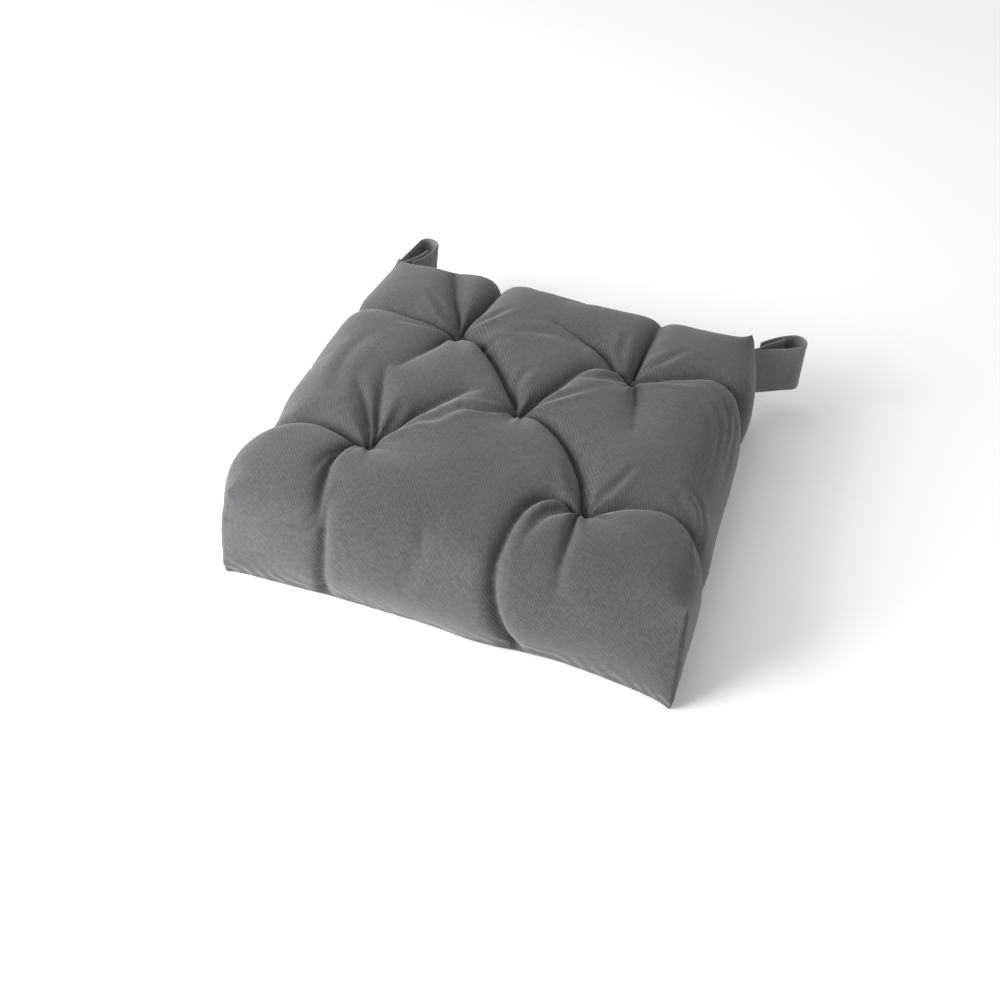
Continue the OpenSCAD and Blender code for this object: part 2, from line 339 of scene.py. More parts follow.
box, grid, faces, region = np.array(box), np.array(grid), np.array(faces), np.array(region)
N = len(box)
A, B, C = grid.T
ON_TOP = C > 1 - TINY
UNDER = (C < TINY) & (np.abs(A) < 1 - TINY) & (np.abs(B) < 1 - TINY)
RIM = (C < TINY) & ~UNDER
SEAM = (np.abs(A) > 1 - TINY) & (np.abs(B) > 1 - TINY)


def unfolded(points, where):
    """Flat cloth coordinates: the top as it lies, with each wall hinged out level round it."""
    flat = points[:, :2].copy()
    drop = HEIGHT - points[:, 2]
    flat[:, 1] += np.select([where == FRONT, where == BACK], [-drop, drop], 0)
    flat[:, 0] += np.select([where == LEFT, where == RIGHT], [-drop, drop], 0)
    return flat


wall = np.select([ON_TOP, B < -1 + TINY, B > 1 - TINY, A < -1 + TINY, A > 1 - TINY],
                 [TOP, FRONT, BACK, LEFT, RIGHT], BOTTOM)
FLAT = unfolded(box, wall) / MM

edges = np.unique(np.sort(np.concatenate([faces[:, [0, 1]], faces[:, [1, 2]], faces[:, [2, 3]],
                                          faces[:, [3, 0]]]), axis=1), axis=0)
degree = np.bincount(edges.ravel(), minlength=N)


def smoothed(p, weight, rounds):
    for _ in range(rounds):
        total = np.stack([np.bincount(edges[:, 0], p[edges[:, 1], k], N)
                          + np.bincount(edges[:, 1], p[edges[:, 0], k], N) for k in range(3)], 1)
        p = p + (total / degree[:, None] - p) * weight[:, None]
    return p


def normals_of(p, quads):
    n = np.cross(p[quads[:, 2]] - p[quads[:, 0]], p[quads[:, 3]] - p[quads[:, 1]])
    out = np.zeros_like(p)
    for k in range(4):
        for axis in range(3):
            out[:, axis] += np.bincount(quads[:, k], n[:, axis], len(p))
    return out / np.maximum(np.linalg.norm(out, axis=1, keepdims=True), TINIEST)


# ---------------------------------------------------------------- cushion: folds
# Each fold is (x, y, depth) points in flat millimetres and a width. Past y = -190 the cloth
# hangs down the front wall, and past y = 190 down the back wall.

FOLDS = {
    "centre_to_back_left": ([(-70, 88, 42), (-48, 66, 34), (-25, 38, 30), (-6, 10, 40)], 7),
    "centre_to_front_right": ([(90, -98, 46), (76, -66, 38), (56, -36, 30), (30, -12, 26), (8, -5, 36)], 7),
    "centre_to_back_right": ([(10, 4, 36), (26, 40, 22), (44, 76, 20), (68, 84, 34)], 7),
    "front_left_to_centre": ([(-95, -80, 40), (-72, -36, 22), (-48, -4, 14), (-36, 4, 6)], 8),
    "front_left_up_a": ([(-99, -80, 32), (-110, -40, 18), (-121, 2, 5)], 7),
    "front_left_up_b": ([(-105, -86, 30), (-122, -50, 16), (-139, -19, 5)], 7),
    "front_left_out": ([(-112, -94, 38), (-134, -84, 30), (-160, -80, 24), (-190, -90, 18),
                        (-212, -98, 12), (-245, -104, 7), (-284, -106, 3)], 8),
    "front_left_down_a": ([(-112, -100, 36), (-121, -124, 24), (-119, -150, 17), (-114, -178, 11),
                           (-111, -204, 4)], 4.6),
    "front_left_down_b": ([(-108, -166, 3), (-105, -190, 9), (-103, -220, 10), (-103, -250, 9),
                           (-104, -286, 8)], 4.2),
    "front_left_short": ([(-113, -99, 30), (-125, -114, 16), (-130, -134, 8), (-129, -150, 3)], 4.6),
    "front_right_down": ([(86, -108, 44), (64, -101, 30), (47, -116, 22), (40, -150, 17), (41, -205, 14),
                          (50, -250, 13), (64, -288, 12)], 4.7),
    "front_right_fold": ([(78, -112, 30), (66, -124, 14), (58, -146, 7), (56, -170, 3)], 4.5),
    "front_right_down_b": ([(86, -114, 30), (87, -140, 16), (90, -178, 6), (92, -204, 2)], 4.5),
    "front_right_out": ([(104, -98, 34), (128, -84, 22), (160, -78, 17), (192, -92, 13), (212, -100, 10),
                         (245, -106, 7), (284, -108, 3)], 8),
    "back_left_back": ([(-78, 94, 38), (-71, 130, 28), (-68, 165, 24), (-66, 205, 18), (-66, 245, 11),
                        (-66, 286, 7)], 8),
    "back_left_up": ([(-84, 94, 32), (-98, 130, 18), (-114, 180, 8)], 9),
    "back_left_out": ([(-88, 84, 30), (-115, 86, 17), (-150, 93, 11), (-180, 96, 10), (-204, 97, 9),
                       (-240, 95, 6), (-276, 93, 3)], 8),
    "back_left_front": ([(-86, 72, 26), (-98, 40, 13), (-110, 10, 6)], 9),
    "back_right_back": ([(84, 94, 38), (84, 130, 28), (86, 165, 13), (88, 205, 8), (88, 245, 6),
                         (88, 286, 5)], 8),
    "back_right_left": ([(74, 84, 32), (44, 106, 18), (0, 122, 6)], 8),
    "back_right_out": ([(92, 82, 32), (122, 96, 20), (150, 112, 17), (180, 104, 13), (202, 96, 10),
                        (240, 92, 7), (276, 90, 3)], 8),
    "back_right_front": ([(90, 66, 24), (98, 30, 11), (104, 0, 5)], 9),
}


def curve(points, step=2.0):
    """Smooth curve through points, as Catmull-Rom, about one point each step."""
    p = np.array(points, float)
    out = []
    for k in range(len(p) - 1):
        p0, p1, p2, p3 = p[max(k - 1, 0)], p[k], p[k + 1], p[min(k + 2, len(p) - 1)]
        count = max(2, int(np.linalg.norm((p2 - p1)[:2]) / step))
        for s in np.arange(count) / count:
            out.append(0.5 * (2 * p1 + (p2 - p0) * s + (2 * p0 - 5 * p1 + 4 * p2 - p3) * s * s
                              + (3 * p1 - p0 - 3 * p2 + p3) * s ** 3))
    out.append(p[-1])
    return np.array(out)


def nearest(flat, line):
    """Distance from each flat point to a curve, the curve's third value there, and the way to it."""
    best, value, at = np.full(len(flat), 1e9), np.zeros(len(flat)), np.zeros((len(flat), 2))
    for q in line:
        d = np.hypot(flat[:, 0] - q[0], flat[:, 1] - q[1])
        near = d < best
        best[near], value[near], at[near] = d[near], q[2], q[:2]
    return best, value, at - flat


def pillow(d, reach):
    q = np.clip(1 - d / reach, 0, 1)
    return 1 - np.sqrt(1 - q * q)


def tuft_distance(points, tuft):
    return np.hypot(points[:, 0] - tuft[0], points[:, 1] - tuft[1])


# How far each corner of the pad is moved, in millimetres: (at the bottom, at the top)
CORNERS = {(-1, -1): ((7, 2, 0), (5, 8, -11)), (1, -1): ((1, -15, 0), (-3, 5, 1)),
           (-1, 1): ((0, 0, 0), (1, -2, -8)), (1, 1): ((-2, 0, 0), (-7, 2, 4))}
# Places where a wall bulges, in millimetres: side, middle, reach and size
BULGES = [(LEFT, -132, 28, 13), (LEFT, -76, 20, -10), (LEFT, 60, 90, 4), (RIGHT, 140, 45, 9),
          (RIGHT, -30, 70, -7)]
FRONT_BULGES = [(38, 34, 9), (96, 26, -2)]
# How far a wall is drawn in between its corners, in metres: extra at the bottom, and all over
TUCK = {FRONT: (0.010, 0.004), BACK: (0.013, 0.003), LEFT: (0.014, 0.003), RIGHT: (0.014, 0.003)}
SWELL, CROWN = 0.017, 0.016
CORNER_POWER, WALL_POWER = 3.5, 8
SHAPE_ROUNDS = 100
# Lengths from here to FILL_IN are in millimetres
FOLD_ROUND, FOLD_SHARP, FOLD_REACH = 0.72, 0.28, 3.4   # a fold's section; the reach is in widths
DIMPLE, DIMPLE_REACH, DIMPLE_CORE, CORE_REACH, DIMPLE_SHARE = 52, 44, 4, 14, 0.93
FILL_DIMPLE, FILL_REACH, FILL_FLAT = 56, 46, 5         # the same under the cover, round a flat floor
TIE_HOLD, CUP_HOLD = 6.5, 7                            # the cloth is held this far from a tie
CUP, CUP_REACH, FILL_CUP, FILL_CUP_REACH = 10, 17, 11, 20
FILL_IN = 4.5                                          # from the cover down to the filling
FILL_LOW = 0.003                                       # lowest height of the filling
HOLD_FOLD, HOLD_RIM, HOLD_SEAM = 0.6, 0.35, 0.5        # how firmly the cloth is held there


def on_walls(flat_move):
    """A move in flat cloth coordinates, as a move in space, wall by wall."""
    x, y, still = flat_move[:, 0], flat_move[:, 1], np.zeros(N)
    which = [wall == FRONT, wall == BACK, wall == LEFT, wall == RIGHT]
    return np.stack([np.select(which, [x, x, still, still], x), np.select(which, [still, still, y, y], y),
                     np.select(which, [y, -y, x, -x], still)], 1)


def starting_shape():
    """The pad before the cloth is inflated: crowned, pulled in between corners, folded at the tufts."""
    p = box.copy()
    across, along = 1 - A ** 2, 1 - B ** 2
    swell = SWELL * np.sin(np.pi * C) ** 0.8

    def tuck(where):
        return TUCK[where][0] * (1 - C) + TUCK[where][1] - swell

    p[:, 1] += np.where(B < -1 + TINY, tuck(FRONT) * across, 0)
    p[:, 1] -= np.where(B > 1 - TINY, tuck(BACK) * across, 0)
    p[:, 0] -= np.where(A > 1 - TINY, tuck(RIGHT) * along, 0)
    p[:, 0] += np.where(A < -1 + TINY, tuck(LEFT) * along, 0)
    p[:, 2] += np.where(ON_TOP, CROWN * (1 - A ** 4) * (1 - B ** 4), 0)
    for x0, reach, size in FRONT_BULGES:
        near = np.clip(-B, 0, 1) ** WALL_POWER * np.exp(-((box[:, 0] / MM - x0) / reach) ** 2)
        p[:, 1] -= size * MM * near * (1 - 0.6 * C)
    for where, y0, reach, size in BULGES:
        side = -1 if where == LEFT else 1
        near = np.clip(side * A, 0, 1) ** WALL_POWER * np.exp(-((box[:, 1] / MM - y0) / reach) ** 2)
        p[:, 0] += side * size * MM * near * np.clip(C * 1.6, 0, 1)
    for (sa, sb), (low_move, top_move) in CORNERS.items():
        near = (np.clip(sa * A, 0, 1) * np.clip(sb * B, 0, 1)) ** CORNER_POWER
        p += near[:, None] * (np.outer(1 - C, low_move) + np.outer(C, top_move)) * MM
    blunt = 1 - 0.25 * (A < 0) * (B < 0) * (C > 0.7)
    sharp = np.maximum(blunt * np.abs(A) ** 16 * np.abs(B) ** 16, 0.6 * RIM)
    p = smoothed(p, 0.5 * (1 - 0.97 * sharp), SHAPE_ROUNDS)
    p[C < TINY, 2] = 0
    n = normals_of(p, faces)
    drop, deep, held = np.zeros(N), np.zeros(N), np.zeros(N)
    gather = np.zeros((N, 2))
    able = ~UNDER & (C > 0.02)
    for points, width in FOLDS.values():
        d, depth, way = nearest(FLAT, curve(points))
        g = depth * (FOLD_ROUND * pillow(d, width * FOLD_REACH)
                     + FOLD_SHARP * np.exp(-(d / width) ** 2))
        low = np.minimum(drop, g)
        drop = np.where(able, np.maximum(drop, g) + 0.25 * low * (low < 6), drop)
        under = depth * pillow(np.maximum(d - FILL_FLAT, 0), width * FOLD_REACH)
        deep = np.where(able, np.maximum(deep, under), deep)
        held = np.where(able & (d < 4), np.maximum(held, np.clip(depth / 30, 0, 1)), held)
        pull = 0.6 * np.clip(depth / 34, 0, 1) * np.exp(-(d / 13) ** 2)
        gather += way * (pull * able)[:, None]
    pinned = np.zeros(N)
    for tuft in TUFTS.values():
        d = tuft_distance(FLAT, tuft)
        g = DIMPLE_SHARE * (DIMPLE * pillow(d, DIMPLE_REACH)
                            + DIMPLE_CORE * np.exp(-(d / CORE_REACH) ** 2))
        drop = np.where(ON_TOP, np.maximum(drop, g), drop)
        under = FILL_DIMPLE * pillow(np.maximum(d - FILL_FLAT, 0), FILL_REACH)
        deep = np.where(ON_TOP, np.maximum(deep, under), deep)
        pinned[ON_TOP & (d < TIE_HOLD)] = 1
        near = np.exp(-(d / CORE_REACH) ** 2)[:, None]
        gather = gather * (1 - near) + 0.45 * near * (np.array(tuft) - FLAT) * ON_TOP[:, None]
    inner = p - n * ((deep + FILL_IN) * MM)[:, None]
    p = p - n * (drop * MM)[:, None] + on_walls(gather) * MM
    p = smoothed(p, 0.3 * (drop > 0.5) * (1 - RIM), 1)
    for tuft in TUFTS.values():
        d = tuft_distance(box / MM, tuft)
        p[UNDER, 2] += CUP * MM * np.exp(-(d[UNDER] / CUP_REACH) ** 2)
        inner[UNDER, 2] += FILL_CUP * MM * np.exp(-(d[UNDER] / FILL_CUP_REACH) ** 2)
        pinned[UNDER & (d < CUP_HOLD)] = 1
    p[:, 2] = np.maximum(p[:, 2], 0)
    inner[:, 2] = np.maximum(inner[:, 2], FILL_LOW)
    weight = np.maximum(pinned, held * HOLD_FOLD * (C > 0.02))
    weight = np.where(RIM, np.maximum(weight, HOLD_RIM), weight)
    weight = np.where(SEAM, np.maximum(weight, HOLD_SEAM), weight)
    return p, weight, inner


PRESSURE, LAST_FRAME = 28, 22
CUT_CROWN, CUT_SPARE = 0.035, 1.045  # the cloth is cut to a crowned box, and this much larger
FARTHEST = 0.012  # the cloth moves no farther than this from its start


def inflated(start, weight):
    """Runs the cover as cloth under pressure, held at the tufts, folds and seams."""
    ob = new_object("cloth_run", start, faces, COTTON)
    group = ob.vertex_groups.new(name="held")
    for v in np.nonzero(weight)[0]:
        group.add([int(v)], float(weight[v]), "REPLACE")
    ob.shape_key_add(name="Basis")
    rest = ob.shape_key_add(name="Cut")
    cut = box.copy()
    cut[:, 2] += np.where(ON_TOP, CUT_CROWN * (1 - A ** 2) * (1 - B ** 2), 0)
    rest.data.foreach_set("co", (cut * CUT_SPARE).astype(np.float32).ravel())
    cloth = ob.modifiers.new("Cloth", "CLOTH")
    s = cloth.settings
    s.quality, s.mass, s.air_damping = 6, 0.3, 2
    s.tension_stiffness, s.compression_stiffness, s.shear_stiffness, s.bending_stiffness = 20, 3, 4, 0.03
    s.tension_damping = s.compression_damping = s.shear_damping = 5
    s.bending_damping = 0.5
    s.vertex_group_mass, s.pin_stiffness = "held", 3
    s.use_pressure, s.uniform_pressure_force = True, PRESSURE
    s.effector_weights.gravity = 0
    s.rest_shape_key = rest
    cloth.collision_settings.distance_min = 0.001
    cloth.collision_settings.use_self_collision = False
    bpy.ops.mesh.primitive_plane_add(size=2, location=(0, 0, -0.0012))
    ground = bpy.context.object
    ground.modifiers.new("Collision", "COLLISION")
    ground.collision.thickness_outer = 0.001
    cloth.point_cache.frame_start, cloth.point_cache.frame_end = 1, LAST_FRAME
    scene.frame_start, scene.frame_end = 1, LAST_FRAME
    for f in range(1, LAST_FRAME + 1):
        scene.frame_set(f)
    done = ob.evaluated_get(bpy.context.evaluated_depsgraph_get()).to_mesh()
    out = coordinates(done)
    scene.frame_set(1)
    for o in (ob, ground):
        data = o.data
        bpy.data.objects.remove(o)
        bpy.data.meshes.remove(data)
    moved = smoothed(out - start, np.full(N, 0.5), 3)
    far = np.linalg.norm(moved, axis=1)
    return start + moved * np.minimum(1, FARTHEST / np.maximum(far, TINY))[:, None]


start, weight, inner = starting_shape()
shape = inflated(start, weight)
above = np.maximum(shape[:, 2] - EVEN_FROM, 0)
shape[:, 2] -= above - EVEN_REACH * np.tanh(above / EVEN_REACH)
# The back wall stays close to flat near its ends, where a strap can swing against it
beside_strap = DEPTH / 2 + 0.001 + 0.35 * np.maximum(0.152 - np.abs(shape[:, 0]), 0)
shape[:, 1] = np.where(B > 0, np.minimum(shape[:, 1], beside_strap), shape[:, 1])
shape[:, 2] = np.maximum(shape[:, 2], 0)
shape[RIM, 2] = 0

# ---------------------------------------------------------------- cushion: fine surface


def noise(flat, seed, wavelengths, count=14):
    """Even, repeatable waviness: a sum of sines in set directions."""
    rng = np.random.default_rng(seed)
    out = np.zeros(len(flat))
    for _ in range(count):
        turn, phase = rng.uniform(0, math.pi), rng.uniform(0, 2 * math.pi)
        length = rng.uniform(*wavelengths)
        along = flat[:, 0] * math.cos(turn) + flat[:, 1] * math.sin(turn)
        out += np.sin(along * 2 * math.pi / length + phase)
    return out / math.sqrt(count / 2)


# Small creases: (x, y, depth) points in flat millimetres and a width
WRINKLES = [
    ([(142, 93, 0.2), (162, 84, 1.1), (176, 71, 1.2), (187, 50, 0.8), (193, 22, 0.1)], 3.4),
    ([(146, 78, 0.2), (165, 64, 1.0), (178, 42, 1.0), (186, 12, 0.6), (189, -24, 0.1)], 3.4),
    ([(138, 70, 0.2), (156, 57, 0.7), (167, 34, 0.7), (172, 4, 0.4), (172, -30, 0.1)], 3.6),
    ([(182, 80, 0.2), (197, 58, 0.9), (207, 26, 0.8), (211, -8, 0.1)], 3.6),
    ([(160, -64, 0.8), (180, -76, 1.8), (192, -98, 1.4), (202, -130, 0.5)], 4.0),
    ([(166, -46, 0.4), (186, -56, 1.2), (200, -80, 1.0), (212, -112, 0.4)], 3.8),
    ([(172, -88, 0.5), (184, -104, 1.4), (192, -134, 0.8)], 3.4),
    ([(-26, 96, 0.8), (4, 104, 1.8), (30, 96, 0.8)], 5.0),
    ([(-20, -52, 0.6), (10, -66, 1.6), (36, -84, 0.8)], 6.0),
    ([(-60, -56, 1.0), (-40, -28, 2.0), (-14, -20, 1.0)], 4.0),
    ([(-150, -40, 0.8), (-158, 0, 1.6), (-150, 40, 0.8)], 6.0),
    ([(-92, -84, 1.5), (-78, -66, 2.6), (-64, -54, 1.6), (-50, -48, 0.4)], 3.2),
    ([(-97, -80, 1.5), (-92, -56, 2.4), (-90, -36, 0.6)], 3.2),
    ([(84, -106, 1.5), (70, -112, 2.4), (60, -128, 1.6), (56, -146, 0.4)], 3.0),
    ([(98, -92, 1.5), (108, -70, 2.2), (116, -48, 0.5)], 3.2),
    ([(86, -96, 1.5), (72, -84, 2.2), (60, -62, 0.6)], 3.2),
    ([(10, 4, 1.5), (26, 14, 2.4), (44, 30, 1.6), (58, 44, 0.4)], 3.2),
    ([(-4, 8, 1.5), (-6, 28, 2.2), (-2, 48, 0.6)], 3.2),
    ([(-6, -8, 1.5), (-22, -20, 2.2), (-40, -26, 0.6)], 3.2),
    ([(-76, 90, 1.5), (-60, 106, 2.4), (-46, 126, 0.6)], 3.2),
    ([(-88, 90, 1.5), (-104, 104, 2.2), (-122, 126, 0.5)], 3.2),
    ([(-90, 80, 1.5), (-112, 74, 2.2), (-134, 72, 0.5)], 3.2),
    ([(-70, 76, 1.5), (-52, 74, 2.2), (-34, 80, 0.5)], 3.2),
    ([(88, 90, 1.5), (104, 108, 2.2), (118, 130, 0.5)], 3.2),
    ([(90, 80, 1.5), (112, 80, 2.4), (134, 86, 0.6)], 3.2),
    ([(74, 72, 1.5), (58, 60, 2.2), (40, 54, 0.5)], 3.2),
    ([(76, 90, 1.5), (66, 108, 2.2), (62, 132, 0.5)], 3.2),
]
# All in millimetres: sizes first, then widths or wavelengths
LIP, LIP_AT = 0.35, 2.2                     # a crease's raised lips; their place is in widths
GROOVE, GROOVE_FULL, GROOVE_W = 1.4, 16, 2.6
FAN, FAN_AT, FAN_W = 0.55, 15, 11           # gathers round a tuft
PUCKER, PUCKER_AT, PUCKER_W, PUCKER_LONG = 0.28, 7, 6, 19
WELT, WELT_AT, WELT_W = 0.3, 3.4, 2.0       # the raised cloth beside a corner seam
SEAM_CUT, SEAM_CUT_W = 0.7, 1.4
GATHER, GATHER_W, GATHER_LONG = 0.6, 16, 21  # along the bottom seam


def finished(ob):
    """Fine folds, puckers and seam relief, moved along the surface's own normals."""
    me = ob.data
    p = coordinates(me)
    quads = np.array([f.vertices[:] for f in me.polygons])
    n = normals_of(p, quads)
    flat = read_attribute(me, "flat", 3)
    above = flat[:, 2]
    flat = flat[:, :2].astype(float)
    top_side = read_attribute(me, "cover") > 0.5
    corner = read_attribute(me, "corner")
    low = read_attribute(me, "low")
    move = np.zeros(len(p))
    for points, width in WRINKLES:
        d, depth, _ = nearest(flat, curve(points))
        lips = LIP * np.exp(-((d - LIP_AT * width) / width) ** 2)
        move -= depth * (np.exp(-(d / width) ** 2) - lips)
    for points, _ in FOLDS.values():
        d, depth, _ = nearest(flat, curve(points))
        move -= GROOVE * np.clip(depth / GROOVE_FULL, 0, 1) * np.exp(-(d / GROOVE_W) ** 2)
    for k, tuft in enumerate(TUFTS.values()):
        d = tuft_distance(flat, tuft)
        a = np.arctan2(flat[:, 1] - tuft[1], flat[:, 0] - tuft[0])
        fan = np.cos(9 * a + k) + 0.7 * np.cos(14 * a + 2.1 * k) + 0.4 * np.cos(23 * a + k)
        move += FAN * fan * np.exp(-((d - FAN_AT) / FAN_W) ** 2)
    move += 0.16 * noise(flat, 3, (30, 70)) + 0.035 * noise(flat, 5, (8, 18))
    puckers = np.cos(above * 2 * math.pi / PUCKER_LONG + 2.2 * noise(flat, 8, (40, 90)))
    move += np.exp(-((corner - PUCKER_AT) / PUCKER_W) ** 2) * PUCKER * puckers
    move += (WELT * np.exp(-((corner - WELT_AT) / WELT_W) ** 2)
             - SEAM_CUT * np.exp(-(corner / SEAM_CUT_W) ** 2))
    diagonal = (flat[:, 0] + flat[:, 1]) * 2 * math.pi / GATHER_LONG
    gathers = np.cos(diagonal + 2.5 * noise(flat, 9, (50, 120)))
    move += GATHER * gathers * np.exp(-(low / GATHER_W) ** 2) * (low > 1)
    move = np.where(top_side, move, 0.10 * noise(flat, 12, (9, 24)) * (low > 6))
    p = p + n * (move * MM)[:, None]
    p[:, 2] = np.maximum(p[:, 2], 0)
    me.vertices.foreach_set("co", p.astype(np.float32).ravel())
    me.update()


def make_cushion(p):
    """The whole closed cover, subdivided once, with its flat cloth coordinates."""
    ob = new_object("cushion", p, faces, COTTON)
    me = ob.data
    flat3 = np.column_stack([FLAT, box[:, 2] / MM])
    attribute(me, "flat", "FLOAT_VECTOR", "POINT", flat3)
    attribute(me, "cover", "FLOAT", "POINT", np.where(UNDER, 0.0, 1.0))
    along_x = (1 - np.abs(A)) * np.array([half_w(y) for y in box[:, 1]]) / MM
    along_y = (1 - np.abs(B)) * DEPTH / 2 / MM
    on_wall = ~ON_TOP & ~UNDER
    attribute(me, "corner", "FLOAT", "POINT", np.where(on_wall, np.maximum(along_x, along_y), 60.0))
    attribute(me, "low", "FLOAT", "POINT",
              np.where(UNDER, np.minimum(along_x, along_y), np.where(on_wall, C * HEIGHT / MM, 100.0)))
    where = np.repeat(region, 4)
    cloth = unfolded(box[faces.ravel()], where)
    attribute(me, "cloth", "FLOAT_VECTOR", "CORNER", np.column_stack([cloth, where * 0.01]))
    attribute(me, "region", "FLOAT", "FACE", region)
    ob.modifiers.new("Subdivide", "SUBSURF").levels = 1
    fine = bpy.data.meshes.new_from_object(ob.evaluated_get(bpy.context.evaluated_depsgraph_get()))
    bpy.data.objects.remove(ob)
    made = bpy.data.objects.new("cushion_fine", fine)
    scene.collection.objects.link(made)
    finished(made)
    return made


def part_of(ob, name, keep, material):
    """A piece made from some of the faces of ob, with its cloth coordinates."""
    me = ob.data
    quads = np.array([f.vertices[:] for f in me.polygons])
    loops = np.arange(len(quads) * 4).reshape(-1, 4)[keep].ravel()
    used = np.unique(quads[keep])
    renumber = np.zeros(len(me.vertices), int)
    renumber[used] = np.arange(len(used))
    made = new_object(name, coordinates(me)[used], renumber[quads[keep]], material)
    attribute(made.data, "cloth", "FLOAT_VECTOR", "CORNER", read_attribute(me, "cloth", 3)[loops])
    return made


cushion = make_cushion(shape)
face_region = read_attribute(cushion.data, "region")
is_under = np.abs(face_region - BOTTOM) < 0.01
cover = part_of(cushion, "quilted_cover", ~is_under, COTTON)
panel = part_of(cushion, "bottom_cloth", is_under, LINING)
fine_co = coordinates(cushion.data)
surface = BVHTree.FromPolygons(fine_co.tolist(), [f.vertices[:] for f in cushion.data.polygons])
flat_fine = read_attribute(cushion.data, "flat", 3)
cover_fine = read_attribute(cushion.data, "cover") > 0.5
bpy.data.objects.remove(cushion)

inner = inner + shape - start
inner[:, 2] = np.maximum(inner[:, 2], FILL_LOW)
stuffing = new_object("fibre_filling", smoothed(inner, np.full(N, 0.5), 3), faces, FIBRE)

settle(cover, "pad", "cover_cotton", "top_cover")
settle(stuffing, "pad", "fibre_fill", "filling")
settle(panel, "pad", "lining_cotton", "bottom_panel")

# ---------------------------------------------------------------- thread


THREAD_SIDES, THREAD_END = 6, 0.45      # a thread's ends are this share of its thickness


def tube(path, radius, sides=THREAD_SIDES):
    """Vertices and faces of a thread with narrowed ends along a path."""
    path = np.asarray(path, float)
    tangent = np.gradient(path, axis=0)
    tangent /= np.maximum(np.linalg.norm(tangent, axis=1, keepdims=True), TINIEST)
    helper = np.array((0.0, 0.0, 1.0)) if abs(tangent[0][2]) < 0.8 else np.array((1.0, 0.0, 0.0))
    u = np.cross(tangent, helper)
    u /= np.maximum(np.linalg.norm(u, axis=1, keepdims=True), TINIEST)
    v = np.cross(tangent, u)
    ends = np.ones(len(path))
    ends[0] = ends[-1] = THREAD_END
    turn = np.arange(sides) * 2 * math.pi / sides
    ring = (np.cos(turn)[None, :, None] * u[:, None] + np.sin(turn)[None, :, None] * v[:, None])
    co = (path[:, None] + ring * (radius * ends)[:, None, None]).reshape(-1, 3)
    made = [[a * sides + b, a * sides + (b + 1) % sides, (a + 1) * sides + (b + 1) % sides,
             (a + 1) * sides + b] for a in range(len(path) - 1) for b in range(sides)]
    made += [list(range(sides))[::-1], [(len(path) - 1) * sides + b for b in range(sides)]]
    return co, made


def joined(name, parts, material):
    co, made, base = [], [], 0
    for c, f in parts:
        co.append(c)
        made += [[v + base for v in face] for face in f]
        base += len(c)
    return new_object(name, np.concatenate(co), made, material)


# How high a stitch stands along its length, in radii: it comes up, lies flat and goes down again
STITCH_RISE = np.array([-1.0, 0.35, 0.8, 0.8, 0.35, -1.0])


def stitches(path, normal, pitch=0.0034, length=0.0026, radius=0.00032, sink=0.3):
    """Separate stitches along a path of points; normal points off the cloth at each point, and each
    stitch is pressed in by sink radii."""
    path, normal = np.asarray(path, float), np.asarray(normal, float)
    far = np.concatenate([[0], np.cumsum(np.linalg.norm(np.diff(path, axis=0), axis=1))])
    parts = []
    for k in range(int(far[-1] / pitch)):
        s = k * pitch + (pitch - length) / 2 + np.linspace(0, length, len(STITCH_RISE))
        at = np.stack([np.interp(s, far, path[:, c]) for c in range(3)], 1)
        up = np.stack([np.interp(s, far, normal[:, c]) for c in range(3)], 1)
        lift = radius * STITCH_RISE - radius * sink
        parts.append(tube(at + up * lift[:, None], radius))
    return parts


def on_surface(points, direction):
    """Each point moved to where a ray along direction from it meets the cushion."""
    out, up = [], []
    for q in points:
        hit, n, _, _ = surface.ray_cast(Vector(q), Vector(direction))
        out.append(hit if hit else q)
        up.append(n if hit else -Vector(direction))
    return np.array(out), np.array(up)


OUTSIDE = 0.03                       # rays start this far outside the pad
SEAM_LOW, SEAM_TOP = 0.004, 0.088    # the heights where a corner seam's stitches start and end
RIM_Z, RIM_OUT = 0.0022, 1.12        # the perimeter seam's height; its rays start this far out
CLOSING_Z, CLOSING_HALF = 0.0095, 0.08
for name, side, end in (("front_left", -1, -1), ("front_right", 1, -1),
                        ("back_left", -1, 1), ("back_right", 1, 1)):
    half = half_w(end * DEPTH / 2)
    line = [(side * (half + OUTSIDE), end * (DEPTH / 2 + OUTSIDE), z)
            for z in np.linspace(SEAM_LOW, SEAM_TOP, 60)]
    path, up = on_surface(line, (-side * 0.707, -end * 0.707, 0))
    seam = joined("seam_" + name, stitches(path, up, 0.0032, 0.0024, 0.0003, 0.9), THREAD)
    settle(seam, "pad", "thread", "corner_seam_" + name)

rim_path = []
for a0, b0, a1, b1 in ((-1, -1, 1, -1), (1, -1, 1, 1), (1, 1, -1, 1), (-1, 1, -1, -1)):
    for t in np.linspace(0.015, 0.985, 160):
        a, b = a0 + (a1 - a0) * t, b0 + (b1 - b0) * t
        rim_path.append((a * half_w(b * DEPTH / 2) * RIM_OUT, b * DEPTH / 2 * RIM_OUT, RIM_Z))
hits, ups = [], []
for q in rim_path:
    target = Vector((q[0] * 0.5, q[1] * 0.5, q[2]))
    hit, n, _, _ = surface.ray_cast(Vector(q), (target - Vector(q)).normalized())
    hits.append(hit if hit else q)
    ups.append(n if hit else (0, 0, 1))
settle(joined("seam_perimeter", stitches(hits, ups, 0.0034, 0.0025, 0.0003, 0.6), THREAD), "pad", "thread",
       "perimeter_seam_thread")

